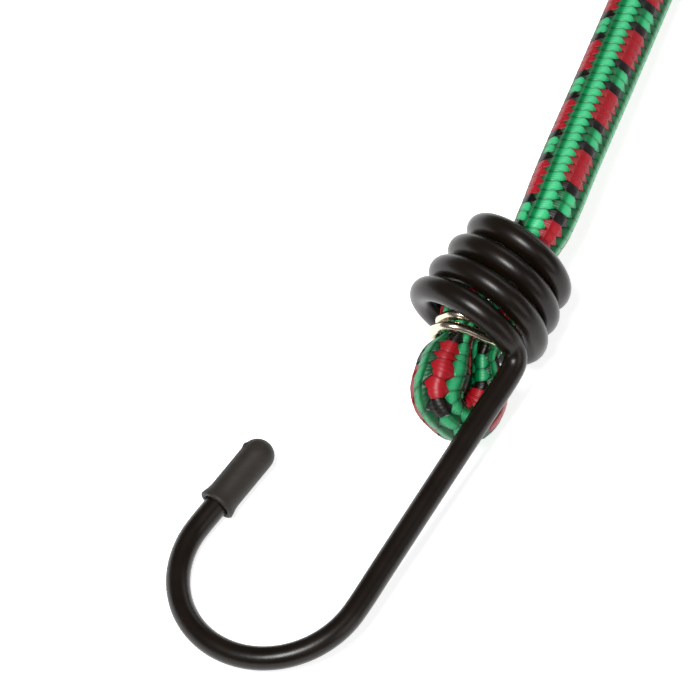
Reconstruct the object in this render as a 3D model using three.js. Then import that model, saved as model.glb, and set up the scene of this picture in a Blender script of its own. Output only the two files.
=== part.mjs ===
import * as THREE from 'three';

// A bungee cord lying on a table: a braided elastic cord with a plastic-coated wire hook on each
// end. Each hook is one bent wire: a coil round the cord, a shank and an open round bend. The
// cord's end comes out of the coil, folds back on itself and is held by a steel clip. All sizes
// are millimetres, +Z is up and the table is at zero.

// The elastic cord: a braided cover round a bundle of rubber strands.
const cordDiameter = 8;
const coverThickness = 0.8;
const runningGap = 0.3;
const foldedGap = 0.42;
const cordSides = 8;
const rubberSides = 6;

// The hook wire and its plastic coat.
const coatDiameter = 3.16;
const steelDiameter = 1.9;
const coatBore = 2.4;
const wireSides = 6;

// The coil that goes round the cord.
const coilPitch = 3.85;
const coilTurns = 3.75;
const coilNarrowRadius = 6.2;
const coilWideRadius = 8;
const coilLastRadius = 7.3;
const stepsPerTurn = 24;

// The corner, the shank, the bend and the free tip of the hook.
const cornerReach = 2.8;
const cornerSteps = 4;
const shankEnd = 41.9;
const bendRadius = 12.6;
const bendSteps = 15;
const tipStraight = 12.5;
const tipLean = THREE.MathUtils.degToRad(6.6);

// The soft cap pushed over the tip.
const capDiameter = 4.4;
const capLength = 10.9;
const capMouthFlare = 0.35;
const capMouthDepth = 1.3;
const capFloor = 1.6;
const capSides = 14;

// How the hook lies on the table: down towards the bend, and the shank's side a little higher.
const hookSlope = THREE.MathUtils.degToRad(6.1);
const hookRoll = THREE.MathUtils.degToRad(9.7);

// The cord's end inside the coil: squeezed where the coil and the clip hold it.
const squeezedRadius = 3.5;
const boreAtNarrow = { across: 0.81, up: -0.45, along: -11.5 };
const boreAtClip = { across: 1.85, up: -1.58, along: 1.3 };
const stubLength = 3.2;
const archLength = 10;

// The folded loop below the coil. Its two limbs lie side by side in a plane that leans.
const foldLean = THREE.MathUtils.degToRad(-27);
const foldMiddle = { across: 2.27, up: -2.75, along: 7 };
const foldHeadLimb = 3.4;
const foldTailLimb = 2.85;
const foldDepth = 3.1;
const foldArcSteps = 8;
const tailAtClip = { across: -1.72, up: 0.24, along: 1.3 };
const tailEndAlong = -1.4;

// Half widths of the cord in the plane of the fold, and square to it.
const headClip = [1.6, 3];
const headFree = [1.75, 3.1];
const headSwell = [2.35, 3.7];
const headFold = [2.6, 4];
const crownFold = [2.85, 4];
const tailFold = [3.15, 4];
const tailSwell = [2.6, 3.3];
const tailFree = [1.95, 3];
const tailClip = [1.9, 3];

// The steel clip: a wire ring of two turns round both limbs.
const clipWire = 1.24;
const clipPitch = 2;
const clipTurns = 2;
const clipSteps = 20;
const clipClearance = 0.25;

// The cord's way over the table: the run from the first hook, one loop that climbs over itself,
// and the run to the second hook.
const runHeading = THREE.MathUtils.degToRad(10.8);
const runLength = 60;
const loopStartRadius = 34;
const loopEndRadius = 28;
const loopTurn = THREE.MathUtils.degToRad(450);
const climbStart = THREE.MathUtils.degToRad(130);
const climbEnd = THREE.MathUtils.degToRad(390);
const loopCrossing = 9.2;
const loopStep = THREE.MathUtils.degToRad(15);
const crossingRun = 22;
const secondRunRise = THREE.MathUtils.degToRad(7);
const endTurn = THREE.MathUtils.degToRad(-90);
const faceGap = 0.3;

const cordRadius = cordDiameter / 2;
const boreRadius = cordRadius - coverThickness;
const rubberRadius = boreRadius - runningGap;
const wireRadius = coatDiameter / 2;

// A path given by its own stations. With an up direction its sections stay level, otherwise
// they are carried along without twist.
class StationPath extends THREE.Curve {
  constructor(points, up = null, before = null, after = null) {
    super();
    this.points = points;
    this.up = up;
    this.before = before;
    this.after = after;
  }

  getSpacedPoints() {
    return this.points.map((point) => point.clone());
  }

  computeFrenetFrames() {
    const tangents = tangentsOf(this.points, this.before, this.after);
    const normals = [];
    const binormals = [];
    const first = tangents[0];
    const start = Math.abs(first.z) < Math.SQRT1_2 ? new THREE.Vector3(0, 0, 1) : new THREE.Vector3(1, 0, 0);
    let normal = new THREE.Vector3().crossVectors(start, first).normalize();
    tangents.forEach((tangent, index) => {
      if (this.up) {
        normal = new THREE.Vector3().crossVectors(this.up, tangent).normalize();
      } else if (index > 0) {
        const turn = new THREE.Quaternion().setFromUnitVectors(tangents[index - 1], tangent);
        normal = normal.clone().applyQuaternion(turn);
      }
      normals.push(normal);
      binormals.push(new THREE.Vector3().crossVectors(tangent, normal).normalize());
    });
    return { tangents, normals, binormals };
  }
}

// Headings along a path. The points just before and after it, where given, set its end faces.
function tangentsOf(points, before = null, after = null) {
  return points.map((point, index) => {
    const from = points[index - 1] ?? before ?? point;
    const to = points[index + 1] ?? after ?? point;
    return to.clone().sub(from).normalize();
  });
}

function polygon(radius, sides) {
  return Array.from({ length: sides }, (unused, index) => {
    const angle = ((index + 0.5) / sides) * 2 * Math.PI;
    return new THREE.Vector2(radius * Math.cos(angle), radius * Math.sin(angle));
  });
}

function solidTube(extrudePath, radius, sides) {
  const section = new THREE.Shape(polygon(radius, sides));
  const steps = extrudePath.points.length - 1;
  return new THREE.ExtrudeGeometry(section, { steps, extrudePath, bevelEnabled: false });
}

function hollowTube(extrudePath, radius, bore, sides, boreSides) {
  const section = new THREE.Shape(polygon(radius, sides));
  section.holes.push(new THREE.Path(polygon(bore, boreSides)));
  const steps = extrudePath.points.length - 1;
  return new THREE.ExtrudeGeometry(section, { steps, extrudePath, bevelEnabled: false });
}

// One closed body from rings of points: the outside, and for a sleeve the inside as well.
function skinned(outerRings, innerRings = null) {
  const positions = [];
  const indices = [];
  const sides = outerRings[0].length;
  const last = outerRings.length - 1;
  const put = (rings) => {
    const base = positions.length / 3;
    rings.forEach((ring) => ring.forEach((point) => positions.push(point.x, point.y, point.z)));
    return base;
  };
  const wall = (base, flip) => {
    for (let ring = 0; ring < last; ring += 1) {
      for (let side = 0; side < sides; side += 1) {
        const next = (side + 1) % sides;
        const a = base + ring * sides + side;
        const b = base + ring * sides + next;
        const c = base + (ring + 1) * sides + next;
        const d = base + (ring + 1) * sides + side;
        if (flip) {
          indices.push(a, c, b, a, d, c);
        } else {
          indices.push(a, b, c, a, c, d);
        }
      }
    }
  };
  const outer = put(outerRings);
  wall(outer, false);
  if (innerRings) {
    const inner = put(innerRings);
    wall(inner, true);
    for (let side = 0; side < sides; side += 1) {
      const next = (side + 1) % sides;
      indices.push(outer + side, inner + side, inner + next, outer + side, inner + next, outer + next);
      const far = last * sides;
      const a = outer + far + side;
      const b = outer + far + next;
      const c = inner + far + next;
      const d = inner + far + side;
      indices.push(a, b, c, a, c, d);
    }
  } else {
    for (let side = 1; side < sides - 1; side += 1) {
      indices.push(outer, outer + side + 1, outer + side);
      indices.push(outer + last * sides, outer + last * sides + side, outer + last * sides + side + 1);
    }
  }
  const geometry = new THREE.BufferGeometry();
  geometry.setAttribute('position', new THREE.Float32BufferAttribute(positions, 3));
  geometry.setIndex(indices);
  geometry.computeVertexNormals();
  return geometry;
}

// The hook's own frame: x from the coil's axis to the shank, -y along the coil's axis to the
// bend, z square to the hook. Zero is the middle of the last turn's front.
const hookPoint = (x, along, z) => new THREE.Vector3(x, -along, z);

function coilRadiusAt(turnsToGo) {
  const halfTurn = 0.5;
  if (turnsToGo < halfTurn) {
    const ease = THREE.MathUtils.smoothstep(turnsToGo, 0, halfTurn);
    return THREE.MathUtils.lerp(coilLastRadius, coilWideRadius, ease);
  }
  const share = (turnsToGo - halfTurn) / (coilTurns - halfTurn);
  return THREE.MathUtils.lerp(coilWideRadius, coilNarrowRadius, share);
}

const cornerAngle = Math.asin(cornerReach / coilLastRadius);
const quarterPitch = coilPitch / 4;

function wirePath() {
  const points = [];
  const coilSteps = Math.round((coilTurns - cornerAngle / (2 * Math.PI)) * stepsPerTurn);
  for (let index = 0; index <= coilSteps; index += 1) {
    const start = coilTurns;
    const stop = cornerAngle / (2 * Math.PI);
    const turnsToGo = THREE.MathUtils.lerp(start, stop, index / coilSteps);
    const angle = turnsToGo * 2 * Math.PI;
    const radius = coilRadiusAt(turnsToGo);
    const along = quarterPitch - turnsToGo * coilPitch;
    points.push(hookPoint(radius * Math.cos(angle), along, radius * Math.sin(angle)));
  }
  const coilEnd = points[points.length - 1];
  const heading = coilEnd.clone().sub(points[points.length - 2]).normalize();
  const knee = coilEnd.clone().addScaledVector(heading, cornerReach);
  const shankStart = knee.clone().add(hookPoint(0, cornerReach, 0));
  const corner = new THREE.QuadraticBezierCurve3(coilEnd, knee, shankStart);
  points.push(...corner.getPoints(cornerSteps).slice(1));
  const shankLast = hookPoint(shankStart.x, shankEnd, shankStart.z);
  points.push(shankStart.clone().lerp(shankLast, 0.5));
  points.push(shankLast);
  const centre = hookPoint(shankStart.x - bendRadius, shankEnd, shankStart.z);
  const bendAngle = Math.PI + tipLean;
  for (let index = 1; index <= bendSteps; index += 1) {
    const angle = (index / bendSteps) * bendAngle;
    const reach = hookPoint(bendRadius * Math.cos(angle), bendRadius * Math.sin(angle), 0);
    points.push(centre.clone().add(reach));
  }
  const bendEnd = points[points.length - 1];
  const tipHeading = new THREE.Vector3(Math.sin(tipLean), Math.cos(tipLean), 0);
  points.push(bendEnd.clone().addScaledVector(tipHeading, tipStraight / 2));
  points.push(bendEnd.clone().addScaledVector(tipHeading, tipStraight));
  return { points, coilCount: coilSteps + 1, bendEnd, tipHeading };
}

// The least gap between turns of the coil, measured on points more than half a turn apart.
function leastGap(points, apart, diameter) {
  let least = Infinity;
  points.forEach((point, index) => {
    for (let other = index + apart; other < points.length; other += 1) {
      least = Math.min(least, point.distanceTo(points[other]) - diameter);
    }
  });
  return least;
}

// The fold's plane: one direction from limb to limb, one square to the plane.
const foldSide = new THREE.Vector3(Math.cos(foldLean), 0, Math.sin(foldLean));
const foldSquare = new THREE.Vector3(-Math.sin(foldLean), 0, Math.cos(foldLean));
const placed = (place) => hookPoint(place.across, place.along, place.up);
const boreStart = placed(boreAtNarrow);
const headAtClip = placed(boreAtClip);
const boreHeading = boreStart.clone().sub(headAtClip).normalize();
const clipReach = clipPitch * clipTurns / 2;

// The path of the cord's end from the run to its cut tail, with its half widths.
function endStations(runDirection) {
  const round = [squeezedRadius, squeezedRadius];
  const full = [cordRadius, cordRadius];
  const stub = boreStart.clone().addScaledVector(boreHeading, stubLength);
  const middleWay = boreHeading.clone().add(runDirection).normalize();
  const archEnd = stub.clone().addScaledVector(middleWay, archLength);
  const handle = archLength / 3;
  const arch = new THREE.CubicBezierCurve3(
    archEnd,
    archEnd.clone().addScaledVector(runDirection, -handle),
    stub.clone().addScaledVector(boreHeading, handle),
    stub,
  );
  const archShares = [0, 0.25, 0.5, 0.75, 1];
  const stations = archShares.map((share) => {
    const width = THREE.MathUtils.lerp(cordRadius, squeezedRadius, share);
    return { at: arch.getPoint(share), half: [width, width] };
  });
  stations[0].half = full;
  const bore = (share, half) => {
    stations.push({ at: boreStart.clone().lerp(headAtClip, share), half });
  };
  const clipShare = (along) => (along - boreAtNarrow.along) / (boreAtClip.along - boreAtNarrow.along);
  const beforeClip = boreAtClip.along - clipReach;
  bore(0, round);
  bore(clipShare(beforeClip - cordRadius), round);
  bore(clipShare(beforeClip), headFree);
  bore(1, headClip);
  const middle = placed(foldMiddle);
  const headMiddle = middle.clone().addScaledVector(foldSide, foldHeadLimb);
  const tailMiddle = middle.clone().addScaledVector(foldSide, -foldTailLimb);
  const afterClip = boreAtClip.along + clipReach;
  const tailAtClipPoint = placed(tailAtClip);
  const onto = (from, to, along) => {
    const share = (along + from.y) / (from.y - to.y);
    return from.clone().lerp(to, share);
  };
  const headLeaves = headAtClip.clone().addScaledVector(boreHeading, -clipReach);
  stations.push({ at: headLeaves, half: headFree });
  stations.push({ at: headLeaves.clone().lerp(headMiddle, 0.5), half: headSwell });
  for (let index = 0; index <= foldArcSteps; index += 1) {
    const share = index / foldArcSteps;
    const angle = share * Math.PI;
    const limb = angle < Math.PI / 2 ? foldHeadLimb : foldTailLimb;
    const sides = Math.cos(angle) * limb;
    const at = middle.clone().addScaledVector(foldSide, sides);
    at.add(hookPoint(0, foldDepth * Math.sin(angle), 0));
    const from = share < 0.5 ? headFold : crownFold;
    const to = share < 0.5 ? crownFold : tailFold;
    const part = share < 0.5 ? share * 2 : share * 2 - 1;
    const half = [THREE.MathUtils.lerp(from[0], to[0], part), THREE.MathUtils.lerp(from[1], to[1], part)];
    stations.push({ at, half });
  }
  const tailLeaves = onto(tailAtClipPoint, tailMiddle, afterClip);
  stations.push({ at: tailLeaves.clone().lerp(tailMiddle, 0.5), half: tailSwell });
  stations.push({ at: tailLeaves, half: tailFree });
  stations.push({ at: tailAtClipPoint, half: tailClip });
  const tailEnd = hookPoint(tailAtClip.across, tailEndAlong, tailAtClip.up);
  stations.push({ at: tailEnd, half: tailFree });
  const runPoint = archEnd.clone().addScaledVector(runDirection, arch.getPoint(archShares[1]).distanceTo(archEnd));
  return { stations, archEnd, runPoint };
}

function endRings(laid, inset, sides) {
  const { stations, runPoint } = laid;
  const points = stations.map((station) => station.at);
  const tangents = tangentsOf(points, runPoint);
  return stations.map((station, index) => {
    const side = new THREE.Vector3().crossVectors(foldSquare, tangents[index]).normalize();
    const square = new THREE.Vector3().crossVectors(tangents[index], side).normalize();
    return Array.from({ length: sides }, (unused, corner) => {
      const angle = ((corner + 0.5) / sides) * 2 * Math.PI;
      const point = station.at.clone();
      point.addScaledVector(side, (station.half[0] - inset) * Math.cos(angle));
      point.addScaledVector(square, (station.half[1] - inset) * Math.sin(angle));
      return point;
    });
  });
}

// The clip's wire goes round an oval that holds both limbs, square to the bore.
function clipPath() {
  const headOuter = headAtClip.clone().addScaledVector(foldSide, headClip[0]);
  const tailOuter = placed(tailAtClip).addScaledVector(foldSide, -tailClip[0]);
  const middle = headOuter.clone().add(tailOuter).multiplyScalar(0.5);
  const around = clipClearance + clipWire / 2;
  const halfWidth = headOuter.distanceTo(tailOuter) / 2 + around;
  const halfHeight = headClip[1] + around;
  const squareness = 0.66;
  const count = clipTurns * clipSteps;
  return Array.from({ length: count + 1 }, (unused, index) => {
    const turns = (index / count) * clipTurns;
    const angle = turns * 2 * Math.PI - Math.PI / 2;
    const cosine = Math.cos(angle);
    const sine = Math.sin(angle);
    const wide = halfWidth * Math.sign(cosine) * Math.pow(Math.abs(cosine), squareness);
    const high = halfHeight * Math.sign(sine) * Math.pow(Math.abs(sine), squareness);
    const point = middle.clone().addScaledVector(foldSide, wide).addScaledVector(foldSquare, high);
    return point.add(hookPoint(0, (turns - clipTurns / 2) * clipPitch, 0));
  });
}

// The cap: a blind sleeve with a slightly wider mouth and a round nose.
function capGeometry() {
  const outer = capDiameter / 2;
  const bore = wireRadius + runningGap;
  const mouth = outer + capMouthFlare;
  const nose = capLength - outer;
  const noseShares = [0.25, 0.5, 0.72, 0.9];
  const profile = [
    new THREE.Vector2(0, capLength - capFloor),
    new THREE.Vector2(bore, capLength - capFloor),
    new THREE.Vector2(bore, 0),
    new THREE.Vector2(mouth, 0),
    new THREE.Vector2(outer, capMouthDepth),
    new THREE.Vector2(outer, nose),
  ];
  noseShares.forEach((share) => {
    const angle = share * Math.PI / 2;
    profile.push(new THREE.Vector2(outer * Math.cos(angle), nose + outer * Math.sin(angle)));
  });
  profile.push(new THREE.Vector2(0, capLength));
  return new THREE.LatheGeometry(profile, capSides);
}

const coatMaterial = new THREE.MeshStandardMaterial({ color: 0x1d1811, roughness: 0.38, metalness: 0 });
const steelMaterial = new THREE.MeshStandardMaterial({ color: 0xb9b4aa, roughness: 0.3, metalness: 1 });
const capMaterial = new THREE.MeshStandardMaterial({ color: 0x3a3531, roughness: 0.6, metalness: 0 });
const clipMaterial = new THREE.MeshStandardMaterial({ color: 0xcfc4b0, roughness: 0.2, metalness: 1 });
const braidMaterial = new THREE.MeshStandardMaterial({ color: 0x009b57, roughness: 0.55, metalness: 0 });
const rubberMaterial = new THREE.MeshStandardMaterial({ color: 0xd9cfae, roughness: 0.8, metalness: 0 });

function piece(name, geometry, material) {
  const mesh = new THREE.Mesh(geometry, material);
  mesh.name = name;
  return mesh;
}

const wire = wirePath();
const gapInCoil = leastGap(wire.points.slice(0, wire.coilCount), stepsPerTurn / 2, coatDiameter);
console.log('least gap between turns of the hook coil, mm', gapInCoil.toFixed(2));
const clipPoints = clipPath();
const gapInClip = leastGap(clipPoints, clipSteps / 2, clipWire);
console.log('least gap between turns of the clip, mm', gapInClip.toFixed(2));

// One end of the bungee cord, before it is laid on the table.
function buildEnd(letter, runDirection) {
  const end = new THREE.Group();
  const slope = new THREE.Group();
  slope.rotation.x = hookSlope;
  end.add(slope);
  const hook = new THREE.Group();
  hook.rotation.y = -hookRoll;
  slope.add(hook);

  const wireCurve = new StationPath(wire.points);
  const coat = hollowTube(wireCurve, wireRadius, coatBore / 2, wireSides, wireSides);
  hook.add(piece(`hook_${letter}_coat`, coat, coatMaterial));
  const steel = solidTube(wireCurve, steelDiameter / 2, wireSides);
  hook.add(piece(`hook_${letter}_steel`, steel, steelMaterial));
  const cap = piece(`hook_${letter}_tip_cap`, capGeometry(), capMaterial);
  const capStart = tipStraight + capFloor + runningGap - capLength;
  cap.position.copy(wire.bendEnd).addScaledVector(wire.tipHeading, capStart);
  cap.quaternion.setFromUnitVectors(new THREE.Vector3(0, 1, 0), wire.tipHeading);
  hook.add(cap);

  const clip = solidTube(new StationPath(clipPoints), clipWire / 2, wireSides);
  slope.add(piece(`clip_${letter}`, clip, clipMaterial));
  const level = new THREE.Quaternion().setFromEuler(slope.rotation).invert();
  const laid = endStations(runDirection.clone().applyQuaternion(level));
  const cover = skinned(
    endRings(laid, 0, cordSides),
    endRings(laid, coverThickness, cordSides),
  );
  slope.add(piece(`end_${letter}_braid`, cover, braidMaterial));
  const rubber = skinned(endRings(laid, coverThickness + foldedGap, cordSides));
  slope.add(piece(`end_${letter}_rubber`, rubber, rubberMaterial));

  end.updateMatrixWorld(true);
  const box = new THREE.Box3().setFromObject(end, true);
  const leaves = laid.archEnd.clone().applyMatrix4(slope.matrixWorld);
  leaves.z -= box.min.z;
  const coilAxisPoint = new THREE.Vector3().applyMatrix4(slope.matrixWorld);
  coilAxisPoint.z -= box.min.z;
  end.position.z = -box.min.z;
  return { end, leaves, coilAxisPoint };
}

const flatHeading = new THREE.Vector3(-Math.sin(runHeading), Math.cos(runHeading), 0);
const upward = new THREE.Vector3(0, 0, 1);

// The first end leaves downhill, so that the run reaches the table at the loop's start.
const tableHeight = cordRadius * Math.cos(Math.PI / cordSides);
const levelEnd = buildEnd('a', flatHeading);
const drop = Math.asin((levelEnd.leaves.z - tableHeight) / runLength);
const firstDirection = flatHeading.clone().multiplyScalar(Math.cos(drop)).addScaledVector(upward, -Math.sin(drop));
const firstEnd = buildEnd('a', firstDirection);

// The loop on the table, drawn from its start, heading as the run does.
const loopMeets = firstEnd.leaves.clone().addScaledVector(firstDirection, runLength);
loopMeets.z = tableHeight;
const runEnd = loopMeets.clone().addScaledVector(flatHeading, cordDiameter);
const leftward = new THREE.Vector3(-flatHeading.y, flatHeading.x, 0);
const loopCentre = runEnd.clone().addScaledVector(leftward, loopStartRadius);
const loopPoints = [runEnd.clone().addScaledVector(flatHeading, -cordDiameter)];
const loopCount = Math.round(loopTurn / loopStep);
for (let index = 0; index <= loopCount; index += 1) {
  const angle = (index / loopCount) * loopTurn;
  const radius = THREE.MathUtils.lerp(loopStartRadius, loopEndRadius, index / loopCount);
  const point = loopCentre.clone();
  point.addScaledVector(leftward, -radius * Math.cos(angle));
  point.addScaledVector(flatHeading, radius * Math.sin(angle));
  point.z += loopCrossing * THREE.MathUtils.smoothstep(angle, climbStart, climbEnd);
  loopPoints.push(point);
}
const loopHeading = flatHeading.clone().applyAxisAngle(upward, loopTurn);
const loopLast = loopPoints[loopPoints.length - 1];
loopPoints.push(loopLast.clone().addScaledVector(loopHeading, crossingRun / 2));
loopPoints.push(loopLast.clone().addScaledVector(loopHeading, crossingRun));
const gapInLoop = leastGap(loopPoints, Math.round(Math.PI / loopStep), cordDiameter);
console.log('least gap between turns of the put-away loop, mm', gapInLoop.toFixed(2));

// The second end, turned so that its cord meets the loop's end, and the run between them.
const secondFlat = flatHeading.clone().multiplyScalar(Math.cos(secondRunRise));
const secondDirection = secondFlat.addScaledVector(upward, Math.sin(secondRunRise));
const secondEnd = buildEnd('b', secondDirection);
const crossingEnd = loopPoints[loopPoints.length - 1];
const secondRunLength = (crossingEnd.z - secondEnd.leaves.z) / Math.sin(secondRunRise);
const secondLevelLength = secondRunLength * Math.cos(secondRunRise);
const secondLeaves = crossingEnd.clone().addScaledVector(loopHeading, secondLevelLength);
secondLeaves.z = secondEnd.leaves.z;
secondEnd.end.rotation.z = endTurn;
const turnedLeaves = secondEnd.leaves.clone().applyAxisAngle(upward, endTurn);
const secondShift = secondLeaves.clone().sub(turnedLeaves);
secondEnd.end.position.x = secondShift.x;
secondEnd.end.position.y = secondShift.y;

// A stretch of cord between two places, drawn back a little from each so that faces don't touch.
function stretch(name, points, before, after) {
  const tangents = tangentsOf(points, before, after);
  const ends = points.map((point) => point.clone());
  ends[0].addScaledVector(tangents[0], faceGap / 2);
  ends[ends.length - 1].addScaledVector(tangents[tangents.length - 1], -faceGap / 2);
  const path = new StationPath(ends, upward, before, after);
  const cover = hollowTube(path, cordRadius, boreRadius, cordSides, rubberSides);
  const rubber = solidTube(path, rubberRadius, rubberSides);
  return [piece(`${name}_braid`, cover, braidMaterial), piece(`${name}_rubber`, rubber, rubberMaterial)];
}

function straight(from, to) {
  const stepLength = 2 * cordDiameter;
  const count = Math.max(Math.round(from.distanceTo(to) / stepLength), 1);
  return Array.from({ length: count + 1 }, (unused, index) => from.clone().lerp(to, index / count));
}

const cordGroup = new THREE.Group();
const runA = straight(firstEnd.leaves, loopMeets);
const runB = straight(crossingEnd, secondLeaves);
cordGroup.add(...stretch('run_a', runA, null, loopPoints[1]));
cordGroup.add(...stretch('loop', loopPoints, runA[runA.length - 2], runB[1]));
cordGroup.add(...stretch('run_b', runB, loopPoints[loopPoints.length - 2], null));

// Everything stands about the middle of the two ends, on the table.
const bungee = new THREE.Group();
bungee.add(firstEnd.end, secondEnd.end);
bungee.updateMatrixWorld(true);
const endsBox = new THREE.Box3().setFromObject(bungee, true);
const middle = endsBox.getCenter(new THREE.Vector3());
bungee.add(cordGroup);
bungee.position.set(-middle.x, -middle.y, 0);
bungee.name = 'bungee_cord';

export default bungee;
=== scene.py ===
import math

import bmesh
import bpy
import numpy
from mathutils import Matrix, Vector


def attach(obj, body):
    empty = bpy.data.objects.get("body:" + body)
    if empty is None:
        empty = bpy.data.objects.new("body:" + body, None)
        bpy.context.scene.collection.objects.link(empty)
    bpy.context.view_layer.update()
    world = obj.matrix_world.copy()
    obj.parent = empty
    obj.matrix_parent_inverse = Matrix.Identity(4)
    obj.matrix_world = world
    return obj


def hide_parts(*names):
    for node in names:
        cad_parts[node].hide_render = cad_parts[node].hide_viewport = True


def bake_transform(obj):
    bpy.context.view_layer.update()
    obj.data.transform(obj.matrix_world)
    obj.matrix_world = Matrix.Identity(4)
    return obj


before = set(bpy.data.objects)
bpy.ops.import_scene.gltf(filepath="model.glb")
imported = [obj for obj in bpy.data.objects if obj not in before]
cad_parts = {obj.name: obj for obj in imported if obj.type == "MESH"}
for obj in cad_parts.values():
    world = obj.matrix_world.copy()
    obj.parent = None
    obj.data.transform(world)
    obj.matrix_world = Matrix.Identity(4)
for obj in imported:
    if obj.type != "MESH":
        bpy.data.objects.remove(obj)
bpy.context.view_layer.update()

MM = 0.001

# The way of the cord. It is one unbroken elastic cord, 8 mm across, which comes out of the coil
# of hook A, runs down to the table, lies there in one loop that is put away and ends in hook B.
# Each end goes through its hook's coil and a steel clip, and folds back on itself below them.
cord_radius = 4.0 * MM
table_lift = 0.45 * MM
fine_step = 0.45 * MM
hook_slope = math.radians(6.1)
end_places = {
    "a": Matrix.Translation(Vector((75.982, -34.463, 8.983)) * MM) @ Matrix.Rotation(hook_slope, 4, "X"),
    "b": (
        Matrix.Translation(Vector((-29.681, 71.150, 8.983)) * MM)
        @ Matrix.Rotation(math.radians(-90), 4, "Z")
        @ Matrix.Rotation(hook_slope, 4, "X")
    ),
}
fold_lean = math.radians(-31)
fold_side = Vector((math.cos(fold_lean), 0, math.sin(fold_lean)))
fold_square = Vector((-math.sin(fold_lean), 0, math.cos(fold_lean)))
arch_rows = {
    "a": [
        (-1.150, 24.559, -0.893, 4.00, 4.00),
        (-0.580, 22.137, -0.415, 4.00, 3.95),
        (-0.050, 19.665, -0.134, 3.95, 3.85),
        (0.340, 17.170, -0.051, 3.90, 3.75),
    ],
    "b": [
        (-0.784, 24.574, 0.358, 4.00, 4.00),
        (-0.352, 22.111, 0.292, 3.88, 3.88),
        (0.016, 19.638, 0.182, 3.75, 3.75),
        (0.317, 17.159, 0.028, 3.63, 3.63),
    ],
}
# Across the fold, along the coil's axis, square to the fold, and the two half widths.
head_rows = [
    (0.56, -14.68, 0.14, 3.60, 3.55),
    (0.93, -11.50, 0.03, 3.50, 3.50),
    (2.00, -7.50, 0.00, 2.90, 3.60),
    (2.60, -4.50, -0.10, 2.40, 3.50),
    (2.75, -2.20, -0.50, 1.80, 3.10),
    (2.95, 0.20, -0.55, 2.05, 3.00),
    (3.25, 1.90, -0.55, 1.95, 3.00),
    (4.55, 3.60, -0.60, 2.35, 3.20),
    (5.95, 5.20, -0.60, 3.10, 3.50),
    (6.50, 6.80, -0.65, 3.35, 3.50),
]
tail_rows = [
    (-0.50, 6.40, 0.05, 3.60, 3.70),
    (-0.80, 4.60, -0.10, 3.10, 3.40),
    (-1.05, 2.80, -0.30, 2.05, 3.10),
    (-1.30, 1.20, -0.50, 2.10, 3.10),
    (-2.20, -0.80, -0.50, 2.90, 3.10),
    (-2.50, -3.00, -0.40, 2.40, 3.00),
    (-2.80, -6.00, -0.40, 1.90, 2.80),
    (-3.20, -9.00, -0.40, 1.60, 2.50),
]
fold_middle = {"across": 3.25, "along": 8.3, "up": -0.05}
fold_limbs = {"head": 3.35, "tail": 3.25}
fold_halves = {"head": 3.4, "crown": 2.8, "tail": 3.75}
fold_depth = 3.0
fold_height = 3.75
fold_offset = 0.6
crown_rows = []
crown_steps = 8
for index in range(crown_steps + 1):
    turned = math.pi * index / crown_steps
    bent = abs(math.cos(turned))
    limb = "head" if index < crown_steps / 2 else "tail"
    half = fold_halves["crown"] * (1 - bent) + fold_halves[limb] * bent
    across = fold_middle["across"] + fold_limbs[limb] * math.cos(turned)
    along = fold_middle["along"] + fold_depth * math.sin(turned)
    up = fold_middle["up"] - fold_offset * math.cos(turned)
    crown_rows.append((across, along, up, half, fold_height))
fold_rows = [
    (*(fold_side * across + fold_square * up - Vector((0, along, 0))), half_side, half_square)
    for across, along, up, half_side, half_square in head_rows + crown_rows + tail_rows
]
run_points = [
    (74.832, -9.948, 10.705),
    (71.789, 4.510, 8.953),
    (68.747, 18.967, 7.200),
    (65.703, 33.425, 5.448),
    (62.660, 47.883, 3.696),
]
loop_points = [
    (62.660, 47.883, 3.696), (61.380, 55.845, 3.696), (58.730, 64.341, 3.696),
    (54.060, 71.741, 3.696), (47.808, 77.560, 3.696), (40.053, 81.349, 3.696),
    (31.551, 82.907, 3.696), (22.988, 82.214, 3.696), (14.946, 79.346, 3.696),
    (7.963, 74.522, 3.696), (2.502, 68.094, 3.706), (-1.086, 60.519, 3.850),
    (-2.580, 52.324, 4.151), (-1.906, 44.074, 4.585), (0.864, 36.329, 5.133),
    (5.516, 29.609, 5.773), (11.710, 24.356, 6.483), (19.005, 20.909, 7.242),
    (26.893, 19.477, 8.030), (34.831, 20.134, 8.825), (42.278, 22.806, 9.606),
    (48.737, 27.285, 10.352), (53.781, 33.245, 11.041), (57.088, 40.261, 11.652),
    (58.455, 47.842, 12.164), (57.817, 55.467, 12.556), (55.243, 62.617, 12.807),
    (50.936, 68.814, 12.896), (45.210, 73.650, 12.896), (38.474, 76.816, 12.896),
    (31.199, 78.120, 12.896), (23.887, 77.499, 12.896), (13.082, 75.438, 12.896),
    (2.277, 73.377, 12.896), (-5.285, 71.934, 11.950),
]


def smoothed(rows, step):
    """More rows on a smooth line through the given ones. The first three numbers are a place."""
    rows = numpy.array(rows, float)
    gaps = numpy.linalg.norm(numpy.diff(rows[:, :3], axis=0), axis=1)
    slopes = numpy.diff(rows, axis=0) / gaps[:, None]
    weights = (gaps[1:] + gaps[:-1])[:, None]
    inner = (slopes[:-1] * gaps[1:, None] + slopes[1:] * gaps[:-1, None]) / weights
    bends = numpy.vstack([slopes[:1], inner, slopes[-1:]])
    fine = []
    for index, gap in enumerate(gaps):
        count = max(1, round(gap / step))
        for part in range(count):
            t = part / count
            fine.append(
                (2 * t**3 - 3 * t**2 + 1) * rows[index]
                + (t**3 - 2 * t**2 + t) * gap * bends[index]
                + (3 * t**2 - 2 * t**3) * rows[index + 1]
                + (t**3 - t**2) * gap * bends[index + 1]
            )
    fine.append(rows[-1])
    return numpy.array(fine)


def headings(places):
    """The direction of a line at each of its places."""
    steps = numpy.gradient(places, axis=0)
    return steps / numpy.linalg.norm(steps, axis=1)[:, None]


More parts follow.
